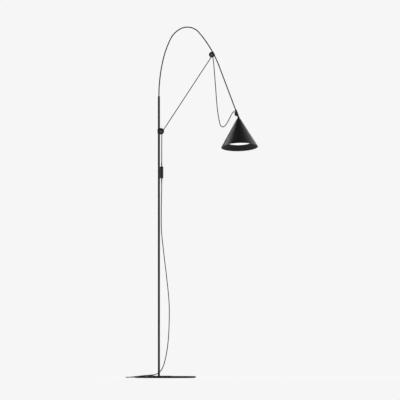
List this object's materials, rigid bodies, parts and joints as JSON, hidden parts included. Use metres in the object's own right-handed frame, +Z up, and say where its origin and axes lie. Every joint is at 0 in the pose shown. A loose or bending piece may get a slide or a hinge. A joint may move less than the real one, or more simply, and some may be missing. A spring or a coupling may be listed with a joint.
{
  "type": "floor lamp",
  "caption": "Floor lamp with a round base, slim pole, bent rod held by a tight cable and a black cone shade on a tilting joint.",
  "frame": {"origin": "on the floor, at the axis of the pole", "axes": "+Z up along the pole, +X towards the side on which the head hangs, -Y the front side with the clamp knobs and the dimmer's button"},
  "size_m": [0.7357, 0.4245, 1.9502],
  "materials": {
    "base_coat": "satin black powder coat",
    "pole_coat": "satin black powder coat",
    "pad_rubber": "matt",
    "steel": "zinc plated",
    "bush_plastic": "moulded acetal",
    "clamp_plastic": "fine moulded grain",
    "knob_plastic": "satin moulded",
    "liner_rubber": "matt",
    "rod_glassfibre": "satin black pultruded glass fibre",
    "brass": "machined",
    "cord_sheath": "smooth matt sheath",
    "tie_band": "woven band",
    "dimmer_plastic": "satin moulded",
    "button_plastic": "fine grain",
    "board_green": "solder mask",
    "boot_rubber": "matt",
    "plug_plastic": "fine grain",
    "plug_metal": "nickel plated",
    "joint_metal": "satin",
    "joint_coat": "satin black",
    "shade_coat": "semi gloss black lacquer",
    "glare_black": "deep matt black",
    "diffuser_white": "lit opal acrylic",
    "white_plastic": "matt",
    "board_white": "white solder mask",
    "heat_sink_alu": "anodised"
  },
  "bodies": {
    "base": {"base_plate": "base_coat", "base_pad": "pad_rubber", "pole_screw": "steel", "pole_foot_insert": "steel", "pole_tube": "pole_coat", "pole_thrust_plug": "bush_plastic", "pole_lower_bush": "bush_plastic", "pole_top_bush": "clamp_plastic", "lead_lower": "cord_sheath", "cord_coil": "cord_sheath", "coil_tie": "tie_band", "lead_end": "cord_sheath", "plug_body": "plug_plastic", "plug_pins": "plug_metal", "plug_boot": "boot_rubber"},
    "arm": {"flex_rod": "rod_glassfibre", "rod_ferrule": "brass", "pole_clamp_front_shell": "clamp_plastic", "pole_clamp_rear_shell": "clamp_plastic", "pole_clamp_liner": "liner_rubber", "pole_clamp_nut": "steel", "pole_clamp_washer": "steel", "rod_clamp_front_shell": "clamp_plastic", "rod_clamp_rear_shell": "clamp_plastic", "rod_clamp_liner": "liner_rubber", "rod_clamp_nut": "steel", "rod_clamp_washer": "steel", "neck_front_shell": "clamp_plastic", "neck_rear_shell": "clamp_plastic", "neck_screw": "joint_metal", "taut_cable": "cord_sheath", "jumper_cord": "cord_sheath", "lead_upper": "cord_sheath", "lead_middle": "cord_sheath", "dimmer_front_shell": "dimmer_plastic", "dimmer_rear_shell": "dimmer_plastic", "dimmer_board": "board_green", "dimmer_top_boot": "boot_rubber", "dimmer_bottom_boot": "boot_rubber"},
    "pole_knob": {"pole_clamp_knob": "knob_plastic", "pole_clamp_stud": "steel"},
    "rod_knob": {"rod_clamp_knob": "knob_plastic", "rod_clamp_stud": "steel"},
    "dimmer_key": {"dimmer_button": "button_plastic"},
    "swivel": {"swivel_stem": "joint_metal"},
    "head": {"head_knuckle": "joint_coat", "tilt_pin": "joint_metal", "shade_cone": "shade_coat", "anti_glare_ring": "glare_black", "diffuser": "diffuser_white", "light_box_spacer": "white_plastic", "led_board": "board_white", "heat_sink": "heat_sink_alu", "head_tube": "steel", "head_nut": "steel"}
  },
  "joints": [
    {"name": "arm_swivel", "type": "hinge", "parent": "base", "child": "arm", "pos_m": [0, 0, 1.54], "axis": [0, 0, 1], "range_deg": [-120, 120]},
    {"name": "pole_clamp_lock", "type": "hinge", "parent": "arm", "child": "pole_knob", "pos_m": [0.011, -0.01, 1.369], "axis": [0, -1, 0], "range_deg": [0, 180]},
    {"name": "rod_clamp_lock", "type": "hinge", "parent": "arm", "child": "rod_knob", "pos_m": [0.29328, -0.008, 1.79422], "axis": [0, -1, 0], "range_deg": [0, 180]},
    {"name": "dimmer_press", "type": "slide", "parent": "arm", "child": "dimmer_key", "axis": [0, 1, 0], "range_m": [0, 0.0012], "stiffness_N_per_m": 600},
    {"name": "head_swivel", "type": "hinge", "parent": "arm", "child": "swivel", "pos_m": [0.44199, 0, 1.44465], "axis": [0.3532, 0, -0.9355], "range_deg": [-150, 150]},
    {"name": "head_tilt", "type": "hinge", "parent": "swivel", "child": "head", "pos_m": [0.44199, 0, 1.44465], "axis": [-0.5571, 0.8032, -0.211], "range_deg": [-63, 14]}
  ]
}
